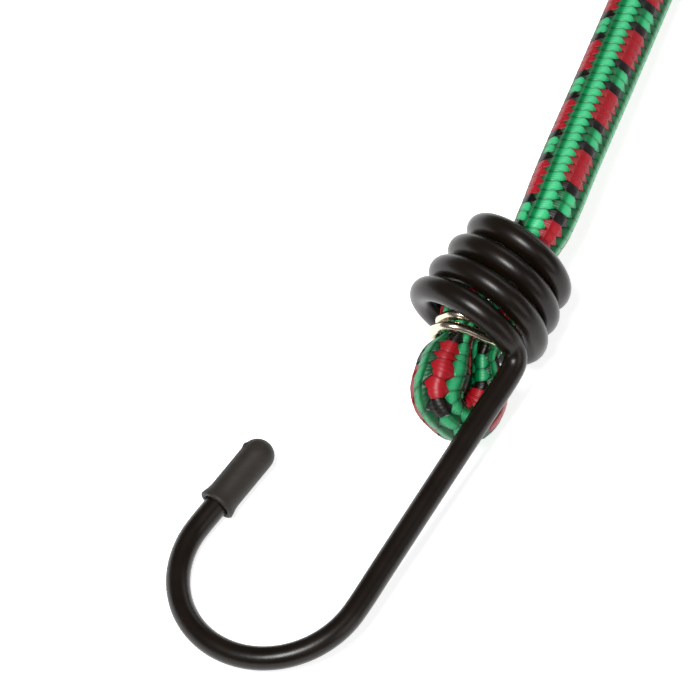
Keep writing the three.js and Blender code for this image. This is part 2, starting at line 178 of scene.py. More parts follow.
def laid(rows, letter):
    """Rows of one end of the cord, from the end's own place in millimetres to metres."""
    return [(*(end_places[letter] @ (Vector(row[:3]) * MM)), row[3] * MM, row[4] * MM) for row in rows]


def on_table(points):
    """Rows of round cord through points in millimetres, lifted so that the cord lies on the table."""
    high, low = run_points[0][2], run_points[-1][2]
    rows = []
    for x, y, z in points:
        lift = table_lift * min(1, max(0, (high - z) / (high - low)))
        rows.append((x * MM, y * MM, z * MM + lift, cord_radius, cord_radius))
    return rows


end_a_rows = laid(arch_rows["a"] + fold_rows, "a")[::-1]
end_b_rows = laid(arch_rows["b"] + fold_rows, "b")
run_a_rows = on_table(run_points)
looped_rows = on_table(loop_points)

# The whole cord as one line of close stations, from the cut tail at hook A to the one at hook B.
# Its four lengths, two of which ride on hook A's end or stretch, are parts of this line.
cord_rows = end_a_rows[:-1] + run_a_rows[:-1] + looped_rows[:-1] + end_b_rows
stations = smoothed(cord_rows, fine_step)
cord_places = stations[:, :3]
cord_headings = headings(cord_places)
cord_distance = numpy.concatenate(
    [[0], numpy.cumsum(numpy.linalg.norm(numpy.diff(cord_places, axis=0), axis=1))]
)


def distance_at(row):
    """How far along the cord the station nearest to a row is."""
    return cord_distance[numpy.argmin(numpy.linalg.norm(cord_places - numpy.array(row[:3]), axis=1))]


joint_a = distance_at(run_a_rows[0])
joint_loop = distance_at(looped_rows[0])
joint_b = distance_at(end_b_rows[0])
cord_end = cord_distance[-1]

# Each station's two half widths as directions, and the turn of the braid round the cord: the
# braid isn't twisted, apart from a little inside the coils, where the hook turned with the cord.
end_squares = {
    "a": numpy.array((end_places["a"].to_3x3() @ fold_square)),
    "b": numpy.array((end_places["b"].to_3x3() @ fold_square)),
}
blend_length = 14 * MM
sides, rises, twists = [], [], []
carried = numpy.array((1.0, 0.0, 0.0))
for index, heading in enumerate(cord_headings):
    distance = cord_distance[index]
    upward = numpy.array((0.0, 0.0, 1.0))
    share_a = min(1, max(0, (joint_a + blend_length - distance) / blend_length))
    share_b = min(1, max(0, (distance - joint_b + blend_length) / blend_length))
    square = upward * (1 - share_a - share_b) + end_squares["a"] * share_a + end_squares["b"] * share_b
    side = numpy.cross(square, heading)
    side /= numpy.linalg.norm(side)
    rise = numpy.cross(heading, side)
    carried = carried - heading * numpy.dot(carried, heading)
    carried /= numpy.linalg.norm(carried)
    twists.append(math.atan2(numpy.dot(carried, rise), numpy.dot(carried, side)))
    sides.append(side * stations[index][3])
    rises.append(rise * stations[index][4])
twists = numpy.unwrap(twists)
middle_of_run = numpy.argmin(abs(cord_distance - (joint_a + joint_loop) / 2))
column_turn = math.radians(35)
end_a_turn = math.radians(-45)
bore_a_start, bore_a_end = joint_a - 24 * MM, joint_a - 10 * MM
twists += column_turn - twists[middle_of_run]
twists += end_a_turn * numpy.clip((bore_a_end - cord_distance) / (bore_a_end - bore_a_start), 0, 1)


def route(name, places, side_vectors, rise_vectors, turns):
    """A line of edges that carries the section and the turn at each of its points."""
    mesh = bpy.data.meshes.new(name)
    edges = [(index, index + 1) for index in range(len(places) - 1)]
    mesh.from_pydata([tuple(place) for place in places], edges, [])
    for label, values in (("side", side_vectors), ("rise", rise_vectors)):
        stored = mesh.attributes.new(label, "FLOAT_VECTOR", "POINT")
        stored.data.foreach_set("vector", numpy.array(values, numpy.float32).ravel())
    stored = mesh.attributes.new("twist", "FLOAT", "POINT")
    stored.data.foreach_set("value", numpy.array(turns, numpy.float32))
    piece = bpy.data.objects.new(name, mesh)
    bpy.context.scene.collection.objects.link(piece)
    return piece


def cord_route(name, start, stop, margin):
    """A stretch of the cord's line between two distances, with a margin past each of them."""
    chosen = numpy.where((cord_distance > start - margin) & (cord_distance < stop + margin))[0]
    first, last = chosen[0], chosen[-1] + 1
    piece = route(name, cord_places[first:last], sides[first:last], rises[first:last], twists[first:last])
    return piece, cord_distance[first]


def result(node, name=0):
    """An output of a node, the first that is open or the one of that name."""
    outputs = [socket for socket in node.outputs if socket.enabled]
    if isinstance(name, int):
        return outputs[name]
    return next(socket for socket in outputs if socket.name == name)


def add(tree, kind, inputs=(), **settings):
    """Adds a node. Its inputs go by name or in order, as values, as outputs or as whole nodes."""
    node = tree.nodes.new(kind)
    for name, value in settings.items():
        setattr(node, name, value)
    named = inputs if isinstance(inputs, dict) else dict(enumerate(inputs))
    for key, value in named.items():
        open_sockets = [socket for socket in node.inputs if socket.enabled]
        if isinstance(key, int):
            socket = open_sockets[key]
        else:
            socket = next(socket for socket in open_sockets if socket.name == key)
        if isinstance(value, bpy.types.Node):
            value = result(value)
        if isinstance(value, bpy.types.NodeSocket):
            tree.links.new(value, socket)
        else:
            socket.default_value = value
    return node


def new_tree(name, inputs, outputs):
    """A new geometry tree with named inputs and outputs. Returns it with its input node."""
    tree = bpy.data.node_groups.new(name, "GeometryNodeTree")
    for label, kind in inputs:
        tree.interface.new_socket(label, in_out="INPUT", socket_type="NodeSocket" + kind)
    for label, kind in outputs:
        tree.interface.new_socket(label, in_out="OUTPUT", socket_type="NodeSocket" + kind)
    return tree, tree.nodes.new("NodeGroupInput")


# How anything is laid along a line: a place is found by how far along it is, its turn round the
# line, and its lift off the section there. The braid, the wires and their coats all follow this.
lay, lay_in = new_tree(
    "lay along a line",
    [("Line", "Geometry"), ("Along", "Float"), ("Turn", "Float"), ("Lift", "Float")],
    [("Place", "Vector"), ("Heading", "Vector")],
)


def sampled(label, kind, output):
    """What a stored value, or the line itself, is at the place that the group is asked for."""
    stored = result(add(lay, "GeometryNodeInputNamedAttribute", {"Name": label}, data_type=kind))
    node = add(
        lay,
        "GeometryNodeSampleCurve",
        {"Curves": lay_in.outputs["Line"], "Value": stored, "Length": lay_in.outputs["Along"]},
        data_type=kind,
        mode="LENGTH",
    )
    return result(node, output)


side_there = sampled("side", "FLOAT_VECTOR", "Value")
rise_there = sampled("rise", "FLOAT_VECTOR", "Value")
twist_there = sampled("twist", "FLOAT", "Value")
place_there = sampled("side", "FLOAT_VECTOR", "Position")
angle = add(
    lay, "ShaderNodeMath", (lay_in.outputs["Turn"], 2 * math.pi, twist_there), operation="MULTIPLY_ADD"
)
side_share = add(lay, "ShaderNodeMath", (angle,), operation="COSINE")
rise_share = add(lay, "ShaderNodeMath", (angle,), operation="SINE")
side_part = add(lay, "ShaderNodeVectorMath", {0: side_there, "Scale": side_share}, operation="SCALE")
rise_part = add(lay, "ShaderNodeVectorMath", {0: rise_there, "Scale": rise_share}, operation="SCALE")
outward = add(lay, "ShaderNodeVectorMath", (side_part, rise_part), operation="ADD")
way_out = add(lay, "ShaderNodeVectorMath", (outward,), operation="NORMALIZE")
lifted = add(
    lay, "ShaderNodeVectorMath", {0: way_out, "Scale": lay_in.outputs["Lift"]}, operation="SCALE"
)
on_section = add(lay, "ShaderNodeVectorMath", (place_there, outward), operation="ADD")
place = add(lay, "ShaderNodeVectorMath", (on_section, lifted), operation="ADD")
add(lay, "NodeGroupOutput", {"Place": place, "Heading": sampled("side", "FLOAT_VECTOR", "Tangent")})

# A sleeve along a line: a round or lobed skin with so many sides and steps, closed at its seam.
seam_reach = 0.002 * MM
sleeve, sleeve_in = new_tree(
    "sleeve along a line",
    [
        ("Geometry", "Geometry"),
        ("Start", "Float"),
        ("Length", "Float"),
        ("Sides", "Int"),
        ("Steps", "Int"),
        ("Lift", "Float"),
        ("Lobes", "Int"),
        ("Lobe depth", "Float"),
        ("Material", "Material"),
    ],
    [("Geometry", "Geometry")],
)
line = result(add(sleeve, "GeometryNodeMeshToCurve", {"Mesh": sleeve_in.outputs["Geometry"]}))
around = add(sleeve, "ShaderNodeMath", (sleeve_in.outputs["Sides"], 1.0), operation="ADD")
lengthways = add(sleeve, "ShaderNodeMath", (sleeve_in.outputs["Steps"], 1.0), operation="ADD")
sheet = add(
    sleeve,
    "GeometryNodeMeshGrid",
    {"Size X": 1.0, "Size Y": 1.0, "Vertices X": around, "Vertices Y": lengthways},
)
flat = add(sleeve, "ShaderNodeSeparateXYZ", (add(sleeve, "GeometryNodeInputPosition"),))
share = add(sleeve, "ShaderNodeMath", (flat.outputs["Y"], 0.5), operation="ADD")
length_done = add(sleeve, "ShaderNodeMath", (share, sleeve_in.outputs["Length"]), operation="MULTIPLY")
along = add(sleeve, "ShaderNodeMath", (length_done, sleeve_in.outputs["Start"]), operation="ADD")
turned = add(sleeve, "ShaderNodeMath", (flat.outputs["X"], 2 * math.pi), operation="MULTIPLY")
lobe_angle = add(sleeve, "ShaderNodeMath", (turned, sleeve_in.outputs["Lobes"]), operation="MULTIPLY")
wave = add(sleeve, "ShaderNodeMath", (lobe_angle,), operation="COSINE")
lobe = add(sleeve, "ShaderNodeMath", (wave, sleeve_in.outputs["Lobe depth"]), operation="MULTIPLY")
lift = add(sleeve, "ShaderNodeMath", (sleeve_in.outputs["Lift"], lobe), operation="ADD")
placed = add(
    sleeve,
    "GeometryNodeGroup",
    {"Line": line, "Along": along, "Turn": flat.outputs["X"], "Lift": lift},
    node_tree=lay,
)
skin = add(sleeve, "GeometryNodeSetPosition", {"Geometry": result(sheet, "Mesh"), "Position": placed})
skin = add(sleeve, "GeometryNodeMergeByDistance", {"Geometry": skin, "Distance": seam_reach})
skin = add(sleeve, "GeometryNodeSetShadeSmooth", {"Geometry": skin})
skin = add(sleeve, "GeometryNodeRealizeInstances", {"Geometry": skin})
skin = add(
    sleeve, "GeometryNodeSetMaterial", {"Geometry": skin, "Material": sleeve_in.outputs["Material"]}
)
add(sleeve, "NodeGroupOutput", {"Geometry": skin})


def grown(piece, tree, values):
    """Turns the piece's line into a plain mesh with a tree, whose inputs go by their identifiers."""
    modifier = piece.modifiers.new(tree.name, "NODES")
    modifier.node_group = tree
    for socket in tree.interface.items_tree:
        if socket.name in values:
            modifier[socket.identifier] = values[socket.name]
    evaluated = piece.evaluated_get(bpy.context.evaluated_depsgraph_get())
    mesh = bpy.data.meshes.new_from_object(evaluated)
    piece.modifiers.clear()
    old = piece.data
    piece.data = mesh
    bpy.data.meshes.remove(old)
    mesh.name = piece.name
    return piece


def closed(piece):
    """Closes open ends and turns every face outwards."""
    shape = bmesh.new()
    shape.from_mesh(piece.data)
    edges = [edge for edge in shape.edges if edge.is_boundary]
    bmesh.ops.holes_fill(shape, edges=edges)
    bmesh.ops.recalc_face_normals(shape, faces=shape.faces)
    shape.to_mesh(piece.data)
    shape.free()
    return piece


def linear(text):
    """An sRGB hex colour as linear numbers with full cover."""
    shares = [int(text[place:place + 2], 16) / 255 for place in (1, 3, 5)]
    curve = [share / 12.92 if share <= 0.04045 else ((share + 0.055) / 1.055) ** 2.4 for share in shares]
    return (*curve, 1.0)


def new_material(name, **values):
    """A material with its main shader. Values are given by the shader's own names."""
    material = bpy.data.materials.new(name)
    material.use_nodes = True
    tree = material.node_tree
    shader = tree.nodes["Principled BSDF"]
    for label, value in values.items():
        shader.inputs[label.replace("_", " ")].default_value = value
    return material, tree, shader


# The rubber inside: a bundle of fine strands of natural latex, pale yellow and dull, which fills
# the cover. It is bare only at the cut tail of each end, deep in the coil.
latex, tree, shader = new_material("natural latex strands", Roughness=0.75)
spot = result(add(tree, "ShaderNodeTexCoord"), "Object")
grain = add(tree, "ShaderNodeTexNoise", {"Vector": spot, "Scale": 900.0, "Detail": 3.0})
pale, paler = linear("#C9BC92"), linear("#E2D8B4")
ramp = add(tree, "ShaderNodeMix", {"Factor": grain, "A": pale, "B": paler}, data_type="RGBA")
tree.links.new(result(ramp, "Result"), shader.inputs["Base Color"])
bump = add(tree, "ShaderNodeBump", {"Strength": 0.3, "Distance": 0.1 * MM, "Height": grain})
tree.links.new(result(bump), shader.inputs["Normal"])

strand_count = 12
core_depth = -1.25 * MM
core_lobes = 0.12 * MM
core_margin = 2 * MM
sleeve_step = 0.9 * MM
stretches = {
    "end_a": (0.0, joint_a, "end_a", ["end_a_rubber"]),
    "run_a": (joint_a, joint_loop, None, ["run_a_rubber"]),
    "looped": (joint_loop, joint_b, "cord", ["loop_rubber", "run_b_rubber"]),
    "end_b": (joint_b, cord_end, "cord", ["end_b_rubber"]),
}


def carried_by(piece, body):
    """Rides on a body, or stretches between hook A's end and the rest of the cord."""
    if body:
        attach(piece, body)
    else:
        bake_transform(piece)
    return piece


for name, (start, stop, body, core_nodes) in stretches.items():
    piece, begins = cord_route(f"{name}_strands", start, stop, core_margin)
    grown(
        piece,
        sleeve,
        {
            "Start": float(start - begins),
            "Length": float(stop - start),
            "Sides": strand_count * 4,
            "Steps": round(float(stop - start) / sleeve_step),
            "Lift": core_depth,
            "Lobes": strand_count,
            "Lobe depth": core_lobes,
            "Material": latex,
        },
    )
    carried_by(closed(piece), body)
    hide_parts(*core_nodes)

# The braided cover: sixteen yarns of shiny filament polyester, eight each way, each going over
# two and under two. Yarns of one way are all green, of the other green, red and black, so that
# lines of green and of coloured flecks take turns round the cord.
columns = 8
# A pick is the length of cord between one yarn and the next in a column. The fold opens it out.
pick = 1.318 * MM
first_phase = -0.56 * pick
fold_stretch = 0.26
fold_start = 1.2 * MM
cover_margin = 3 * MM
under_depth = -0.5 * MM
under_sides = 32
# Sides of a yarn's shape. The looped length has most of the yarns, so its own have fewer.
near_facets = 10
loop_facets = 8
edge_roundness = 0.8
top_roundness = 0.45
coloured_slope = 0.11
bore_a, bore_b = joint_a - 16 * MM, joint_b + 16 * MM
braid, braid_in = new_tree(
    "braid along a line",
    [
        ("Geometry", "Geometry"),
        ("Start", "Float"),
        ("Rows", "Int"),
        ("First row", "Int"),
        ("Level row", "Int"),
        ("Stretch before", "Float"),
        ("Stretch after", "Float"),
        ("Pick", "Float"),
        ("Half reach", "Float"),
        ("Half width", "Float"),
        ("Height", "Float"),
        ("Dive", "Float"),
        ("Taper", "Float"),
        ("Bed", "Float"),
        ("Slope", "Float"),
        ("Facets", "Int"),
        ("Seed", "Int"),
        ("Material", "Material"),
    ],
    [("Geometry", "Geometry")],
)
given = braid_in.outputs
line = result(add(braid, "GeometryNodeMeshToCurve", {"Mesh": given["Geometry"]}))
count = add(braid, "ShaderNodeMath", (given["Rows"], columns), operation="MULTIPLY")
dots = add(braid, "GeometryNodePoints", {"Count": count})
number = add(braid, "GeometryNodeInputIndex")
column = add(braid, "ShaderNodeMath", (number, columns), operation="MODULO")
rows_done = add(braid, "ShaderNodeMath", (number, columns), operation="DIVIDE")
row = add(braid, "ShaderNodeMath", (rows_done,), operation="FLOOR")
green_way = add(braid, "ShaderNodeMath", (column, 2.0), operation="MODULO")
coloured_way = add(braid, "ShaderNodeMath", (1.0, green_way), operation="SUBTRACT")
yarn_row = add(braid, "ShaderNodeMath", (given["First row"], row), operation="ADD")
from_level = add(braid, "ShaderNodeMath", (yarn_row, given["Level row"]), operation="SUBTRACT")
middle = add(braid, "ShaderNodeMath", (coloured_way, 0.5, from_level), operation="MULTIPLY_ADD")
coloured_lean = add(braid, "ShaderNodeMath", (coloured_way, coloured_slope), operation="MULTIPLY")
way = add(braid, "ShaderNodeMath", (coloured_lean, green_way), operation="SUBTRACT")
yarn_shift = add(braid, "ShaderNodeMath", (column, yarn_row), operation="SUBTRACT")
yarn = add(braid, "ShaderNodeMath", (yarn_shift, columns), operation="FLOORED_MODULO")
# Of the eight yarns that go the coloured way, 1 to 4 are red, 0 and 5 black, and 6 and 7 green.
red = add(braid, "ShaderNodeMath", (yarn, 2.5, 1.6), operation="COMPARE")
first_black = add(braid, "ShaderNodeMath", (yarn, 0.0, 0.1), operation="COMPARE")
second_black = add(braid, "ShaderNodeMath", (yarn, 5.0, 0.1), operation="COMPARE")
black = add(braid, "ShaderNodeMath", (first_black, second_black), operation="ADD")
dye = add(braid, "ShaderNodeMath", (black, 2.0, red), operation="MULTIPLY_ADD")
tint = add(braid, "ShaderNodeMath", (coloured_way, dye), operation="MULTIPLY")
chance = add(
    braid,
    "FunctionNodeRandomValue",
    {"Min": 0.0, "Max": 1.0, "ID": number, "Seed": given["Seed"]},
    data_type="FLOAT",
)
turn_share = add(braid, "ShaderNodeMath", (column, columns), operation="DIVIDE")
centre_of_yarn = add(braid, "ShaderNodeCombineXYZ", (turn_share, middle, way))
held = dots
for label, kind, value in (
    ("centre", "FLOAT_VECTOR", centre_of_yarn),
    ("tint", "FLOAT", tint),
    ("shade", "FLOAT", chance),
):
    held = add(
        braid,
        "GeometryNodeStoreNamedAttribute",
        {"Geometry": held, "Name": label, "Value": value},
        data_type=kind,
        domain="POINT",
    )
# The part of a yarn that lies on top, called its float, starts as a ball that is drawn out to two
# points and flattened. Its own place, "local", says how far along, across and up a spot is.
float_shape = add(
    braid, "GeometryNodeMeshUVSphere", {"Segments": given["Facets"], "Rings": given["Facets"], "Radius": 1.0}
)
float_shape = add(
    braid,
    "GeometryNodeTransform",
    {"Geometry": result(float_shape, "Mesh"), "Rotation": (0.0, math.pi / 2, 0.0)},
)
round_place = add(braid, "ShaderNodeSeparateXYZ", (add(braid, "GeometryNodeInputPosition"),)).outputs
square = add(braid, "ShaderNodeMath", (round_place["X"], round_place["X"]), operation="MULTIPLY")
rest_of_square = add(braid, "ShaderNodeMath", (1.0, square), operation="SUBTRACT")
swell = add(braid, "ShaderNodeMath", (rest_of_square,), operation="SQRT")
narrowing = add(braid, "ShaderNodeMath", (swell, given["Taper"]), operation="MULTIPLY")
length_share = add(braid, "ShaderNodeMath", (1.0, narrowing), operation="SUBTRACT")
end_sign = add(braid, "ShaderNodeMath", (round_place["X"],), operation="SIGN")
pointed = add(braid, "ShaderNodeMath", (end_sign, length_share), operation="MULTIPLY")
across_size = add(braid, "ShaderNodeMath", (round_place["Y"],), operation="ABSOLUTE")
across_share = add(braid, "ShaderNodeMath", (across_size, edge_roundness), operation="POWER")
edge_sign = add(braid, "ShaderNodeMath", (round_place["Y"],), operation="SIGN")
flattened = add(braid, "ShaderNodeMath", (edge_sign, across_share), operation="MULTIPLY")
up_size = add(braid, "ShaderNodeMath", (round_place["Z"],), operation="ABSOLUTE")
up_share = add(braid, "ShaderNodeMath", (up_size, top_roundness), operation="POWER")
up_sign = add(braid, "ShaderNodeMath", (round_place["Z"],), operation="SIGN")
levelled = add(braid, "ShaderNodeMath", (up_sign, up_share), operation="MULTIPLY")
ribbon = add(braid, "ShaderNodeCombineXYZ", (pointed, flattened, levelled))
float_shape = add(
    braid,
    "GeometryNodeStoreNamedAttribute",
    {"Geometry": float_shape, "Name": "local", "Value": ribbon},
    data_type="FLOAT_VECTOR",
    domain="POINT",
)
floats = add(braid, "GeometryNodeInstanceOnPoints", {"Points": held, "Instance": float_shape})
floats = add(braid, "GeometryNodeRealizeInstances", {"Geometry": floats})
# Each float is then laid round the cord, a little aslant, and dives under its neighbours at both
# its ends.
local = add(
    braid,
    "ShaderNodeSeparateXYZ",
    (add(braid, "GeometryNodeInputNamedAttribute", {"Name": "local"}, data_type="FLOAT_VECTOR"),),
).outputs
centre = add(
    braid,
    "ShaderNodeSeparateXYZ",
    (add(braid, "GeometryNodeInputNamedAttribute", {"Name": "centre"}, data_type="FLOAT_VECTOR"),),
).outputs
reach = add(braid, "ShaderNodeMath", (local["X"], given["Half reach"]), operation="MULTIPLY")
turn = add(braid, "ShaderNodeMath", (centre["X"], reach), operation="ADD")
columns_across = add(braid, "ShaderNodeMath", (reach, float(columns)), operation="MULTIPLY")
lean = add(braid, "ShaderNodeMath", (centre["Z"], given["Slope"]), operation="MULTIPLY")
climb = add(braid, "ShaderNodeMath", (columns_across, lean), operation="MULTIPLY")
pick_there = add(braid, "ShaderNodeMath", (centre["Y"], climb), operation="ADD")
picks = add(
    braid, "ShaderNodeMath", (local["Y"], given["Half width"], pick_there), operation="MULTIPLY_ADD"
)
even = add(braid, "ShaderNodeMath", (picks, given["Pick"]), operation="MULTIPLY")
even_before = add(braid, "ShaderNodeMath", (even, 0.0), operation="MINIMUM")
even_after = add(braid, "ShaderNodeMath", (even, 0.0), operation="MAXIMUM")
before = add(braid, "ShaderNodeMath", (even_before, given["Stretch before"]), operation="MULTIPLY")
after = add(braid, "ShaderNodeMath", (even_after, given["Stretch after"]), operation="MULTIPLY")
opened = add(braid, "ShaderNodeMath", (before, after), operation="ADD")
spread = add(braid, "ShaderNodeMath", (even, opened), operation="ADD")
along = add(braid, "ShaderNodeMath", (given["Start"], spread), operation="ADD")
arch_angle = add(braid, "ShaderNodeMath", (reach, columns * math.pi), operation="MULTIPLY")
arched = add(braid, "ShaderNodeMath", (arch_angle,), operation="SINE")
arched_twice = add(braid, "ShaderNodeMath", (arched, arched), operation="MULTIPLY")
dive = add(braid, "ShaderNodeMath", (arched_twice, given["Dive"]), operation="MULTIPLY")
standing = add(
    braid, "ShaderNodeMath", (local["Z"], given["Height"], given["Bed"]), operation="MULTIPLY_ADD"
)
lift = add(braid, "ShaderNodeMath", (standing, dive), operation="SUBTRACT")
placed = add(
    braid, "GeometryNodeGroup", {"Line": line, "Along": along, "Turn": turn, "Lift": lift}, node_tree=lay
)
stretched = add(braid, "ShaderNodeMath", (after, before), operation="SUBTRACT")
stretch_share = add(braid, "ShaderNodeMath", (stretched, fold_start), operation="DIVIDE")
past_coil = add(braid, "ShaderNodeMath", (stretch_share, 1.0), operation="SUBTRACT")
past_coil = add(braid, "ShaderNodeMath", (past_coil, 0.0), operation="MAXIMUM")
in_fold = add(braid, "ShaderNodeMath", (past_coil, 1.0), operation="MINIMUM")
for label, kind, value in (
    ("heading", "FLOAT_VECTOR", result(placed, "Heading")),
    ("fold", "FLOAT", in_fold),
):
    floats = add(
        braid,
        "GeometryNodeStoreNamedAttribute",
        {"Geometry": floats, "Name": label, "Value": value},
        data_type=kind,
        domain="POINT",
    )
floats = add(braid, "GeometryNodeSetPosition", {"Geometry": floats, "Position": placed})
floats = add(braid, "GeometryNodeSetShadeSmooth", {"Geometry": floats})
floats = add(braid, "GeometryNodeRealizeInstances", {"Geometry": floats})
floats = add(braid, "GeometryNodeSetMaterial", {"Geometry": floats, "Material": given["Material"]})
add(braid, "NodeGroupOutput", {"Geometry": floats})

# Filament polyester: smooth bright fibres side by side, so each yarn shines with fine lines along it. The
# shine is partly the shader's own gloss and partly a painted highlight along each yarn's top. The yarns shade
# a little from one to the next.
red_dye, black_dye = linear("#A2101C"), linear("#100B06")
# Painted highlight: the lighter green and red that each yarn's colour is drawn towards along its top.
painted_highlight_green, painted_highlight_red = linear("#5AE6A0"), linear("#E04A5C")
highlight_middle = 0.28
highlight_half_length = 0.4
green_highlight_share = 0.66
red_highlight_share = 0.16
# Painted shade: how much each yarn is drawn darker towards its back end and at its edges.
end_painted_shade = 1.2
edge_painted_shade = 1.1
deepest_painted_shade = 0.8
# Painted shade in the fold, and less painted highlight there.
fold_painted_shade = 0.7
fold_highlight_loss = 0.5
# Red yarns take less of the painted shade at their ends and edges.
red_end_shade_relief = 0.6
red_edge_shade_relief = 0.7
fibres_across = 17.0
yarn_look, tree, shader = new_material("filament polyester braid", Roughness=0.42)
stored = {
    label: add(tree, "ShaderNodeAttribute", attribute_name=label, attribute_type="GEOMETRY")
    for label in ("tint", "shade", "local", "heading", "fold")
}
green = add(
    tree,
    "ShaderNodeMix",
    {"Factor": stored["shade"].outputs["Fac"], "A": linear("#007E44"), "B": linear("#009652")},
    data_type="RGBA",
)
# Painted shade: where the cover is folded and squeezed its green is drawn duller and darker, and its painted
# highlight weaker, than on the straight cord.
fold_share = stored["fold"].outputs["Fac"]
fold_shade_share = add(tree, "ShaderNodeMath", (fold_share, fold_painted_shade), operation="MULTIPLY")
green = add(
    tree,
    "ShaderNodeMix",
    {"Factor": fold_shade_share, "A": result(green, "Result"), "B": linear("#005A30")},
    data_type="RGBA",
)
is_red = add(tree, "ShaderNodeMath", (stored["tint"].outputs["Fac"], 1.0, 0.4), operation="COMPARE")
is_black = add(tree, "ShaderNodeMath", (stored["tint"].outputs["Fac"], 2.0, 0.4), operation="COMPARE")
with_red = add(
    tree,
    "ShaderNodeMix",
    {"Factor": is_red, "A": result(green, "Result"), "B": red_dye},
    data_type="RGBA",
)
with_black = add(
    tree,
    "ShaderNodeMix",
    {"Factor": is_black, "A": result(with_red, "Result"), "B": black_dye},
    data_type="RGBA",
)
# Painted highlight and painted shade: each yarn is drawn lighter along its top, a little towards its front
# end, and darker towards its back end and at its edges, where it goes down between its neighbours. The lines
# along it stand for its fibres and are drawn coarser than those, which are too fine to show.
local_part = add(tree, "ShaderNodeSeparateXYZ", (stored["local"].outputs["Vector"],)).outputs
from_highlight_middle = add(tree, "ShaderNodeMath", (local_part["X"], highlight_middle), operation="SUBTRACT")
from_highlight_middle = add(tree, "ShaderNodeMath", (from_highlight_middle, highlight_half_length), operation="DIVIDE")
highlight_falloff = add(tree, "ShaderNodeMath", (from_highlight_middle, from_highlight_middle), operation="MULTIPLY")
highlight_there = add(tree, "ShaderNodeMath", (1.0, highlight_falloff), operation="SUBTRACT")
highlight_there = add(tree, "ShaderNodeMath", (highlight_there, 0.0), operation="MAXIMUM")
highlight_share = add(
    tree,
    "ShaderNodeMath",
    (is_red, red_highlight_share - green_highlight_share, green_highlight_share),
    operation="MULTIPLY_ADD",
)
# Less painted highlight in the fold.
highlight_left_in_fold = add(
    tree, "ShaderNodeMath", (fold_share, -fold_highlight_loss, 1.0), operation="MULTIPLY_ADD"
)
highlight_share = add(tree, "ShaderNodeMath", (highlight_share, highlight_left_in_fold), operation="MULTIPLY")
not_black = add(tree, "ShaderNodeMath", (1.0, is_black), operation="SUBTRACT")
highlight_share = add(tree, "ShaderNodeMath", (highlight_share, not_black), operation="MULTIPLY")
highlight_colour = add(tree, "ShaderNodeMix", {"Factor": is_red, "A": painted_highlight_green, "B": painted_highlight_red}, data_type="RGBA")
highlight_share = add(tree, "ShaderNodeMath", (highlight_there, highlight_share), operation="MULTIPLY")
# The painted highlight mixed into the yarn's colour.
with_painted_highlight = add(
    tree,
    "ShaderNodeMix",
    {"Factor": highlight_share, "A": result(with_black, "Result"), "B": result(highlight_colour, "Result")},
    data_type="RGBA",
)
# Painted shade towards each yarn's back end and along its edges, taken off its colour.
toward_shaded_end = add(tree, "ShaderNodeMath", (local_part["X"], -1.0), operation="MULTIPLY")
toward_shaded_end = add(tree, "ShaderNodeMath", (toward_shaded_end, 0.0), operation="MAXIMUM")
end_shade = add(tree, "ShaderNodeMath", (toward_shaded_end, end_painted_shade), operation="MULTIPLY")
red_end_shade_share = add(tree, "ShaderNodeMath", (is_red, -red_end_shade_relief, 1.0), operation="MULTIPLY_ADD")
end_shade = add(tree, "ShaderNodeMath", (end_shade, red_end_shade_share), operation="MULTIPLY")
from_middle = add(tree, "ShaderNodeMath", (local_part["Y"],), operation="ABSOLUTE")
edge_shade_mask = add(tree, "ShaderNodeMath", (from_middle, 4.0), operation="POWER")
edge_shade = add(tree, "ShaderNodeMath", (edge_shade_mask, edge_painted_shade), operation="MULTIPLY")
red_edge_shade_share = add(tree, "ShaderNodeMath", (is_red, -red_edge_shade_relief, 1.0), operation="MULTIPLY_ADD")
edge_shade = add(tree, "ShaderNodeMath", (edge_shade, red_edge_shade_share), operation="MULTIPLY")
painted_shade = add(tree, "ShaderNodeMath", (end_shade, edge_shade), operation="ADD")
painted_shade = add(tree, "ShaderNodeMath", (painted_shade, deepest_painted_shade), operation="MINIMUM")
left_after_painted_shade = add(tree, "ShaderNodeMath", (1.0, painted_shade), operation="SUBTRACT")
deep = add(tree, "ShaderNodeVectorMath", {0: result(with_painted_highlight, "Result"), "Scale": left_after_painted_shade}, operation="SCALE")
tree.links.new(result(deep), shader.inputs["Base Color"])
shader.inputs["Specular IOR Level"].default_value = 0.4
shader.inputs["Anisotropic"].default_value = 0.8
tree.links.new(stored["heading"].outputs["Vector"], shader.inputs["Tangent"])
fibre_angle = add(tree, "ShaderNodeMath", (local_part["Y"], fibres_across), operation="MULTIPLY")
filament = add(tree, "ShaderNodeMath", (fibre_angle,), operation="SINE")
bump = add(tree, "ShaderNodeBump", {"Strength": 0.35, "Distance": 0.03 * MM, "Height": filament})
tree.links.new(result(bump), shader.inputs["Normal"])

# The yarns' undersides between the floats: the same polyester, dull, and painted in deep greens as the shade
# that lies there.
under_shade_look, tree, shader = new_material("yarn under the braid in painted shade", Roughness=0.7)
spot = result(add(tree, "ShaderNodeTexCoord"), "Object")
grain = add(tree, "ShaderNodeTexNoise", {"Vector": spot, "Scale": 1500.0, "Detail": 2.0})
# Painted shade: two deep greens for the undersides.
painted_shade_darkest, painted_shade_dark = linear("#04301E"), linear("#0A5233")
ramp = add(tree, "ShaderNodeMix", {"Factor": grain, "A": painted_shade_darkest, "B": painted_shade_dark}, data_type="RGBA")
tree.links.new(result(ramp, "Result"), shader.inputs["Base Color"])

